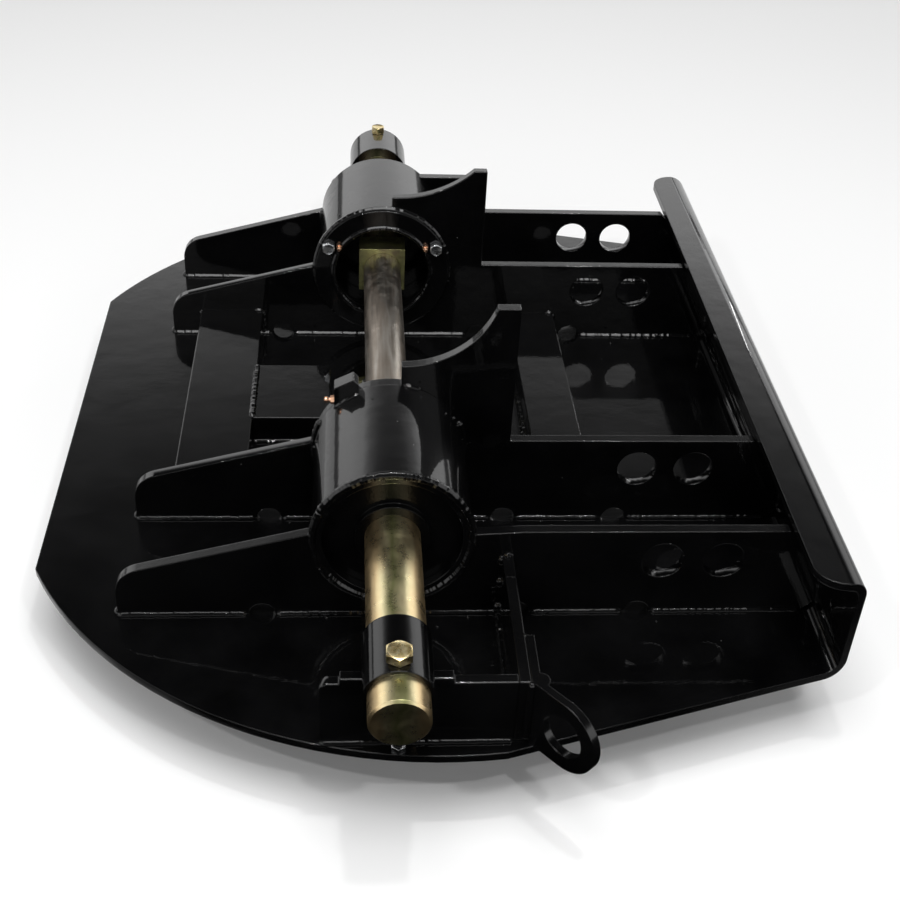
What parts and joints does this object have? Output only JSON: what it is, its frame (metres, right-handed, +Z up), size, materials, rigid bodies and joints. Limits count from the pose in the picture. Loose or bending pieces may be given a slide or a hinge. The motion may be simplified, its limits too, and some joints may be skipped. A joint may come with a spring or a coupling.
{
  "type": "fifth wheel hitch",
  "caption": "Heavy trailer-side fifth wheel hitch: a bent kingpin plate with welded ribs and a cross shaft it pitches on, with pivot pins at both ends.",
  "frame": {"origin": "on the kingpin axis, in the underside of the plate, with the shaft axis straight above it", "axes": "+Y along the pivot shaft, +X towards the turned-up end wall, +Z up from the plate to the shaft"},
  "size_m": [0.943, 1.356, 0.403],
  "materials": {
    "black_paint": "high gloss",
    "bearing_sleeve": "satin, greased",
    "yellow_zinc": "yellow zinc plating, slightly iridescent",
    "bare_steel": "drawn bar, oiled",
    "kingpin_steel": "machined, greased",
    "bright_zinc": "bright zinc plating",
    "copper": "copper plated"
  },
  "bodies": {
    "plate": {"base_plate": "black_paint", "outer_rib_near": "black_paint", "inner_rib_near": "black_paint", "inner_rib_far": "black_paint", "outer_rib_far": "black_paint", "left_channel": "black_paint", "right_channel": "black_paint", "kingpin_brace": "black_paint", "kingpin": "kingpin_steel", "kingpin_bolts": "bright_zinc", "barrel_near": "black_paint", "barrel_far": "black_paint", "bushing_near": "bearing_sleeve", "bushing_far": "bearing_sleeve", "ring_flange": "black_paint", "flange_bolts": "bright_zinc", "collar_near": "black_paint", "collar_far": "black_paint", "keeper_bolt_near": "yellow_zinc", "keeper_bolt_far": "yellow_zinc", "stand_plate_near": "black_paint", "stand_plate_far": "black_paint", "gusset_near": "black_paint", "gusset_far": "black_paint", "tie_eye": "black_paint", "grease_block": "black_paint", "grease_fittings": "copper", "foot_nut": "bright_zinc"},
    "shaft": {"pivot_pin_near": "yellow_zinc", "pivot_pin_far": "yellow_zinc", "cross_shaft": "bare_steel", "drive_block": "yellow_zinc"}
  },
  "joints": [
    {"name": "pitch", "type": "hinge", "parent": "plate", "child": "shaft", "pos_m": [0, 0, 0.123], "axis": [0, 1, 0], "range_deg": [-15, 15]}
  ]
}
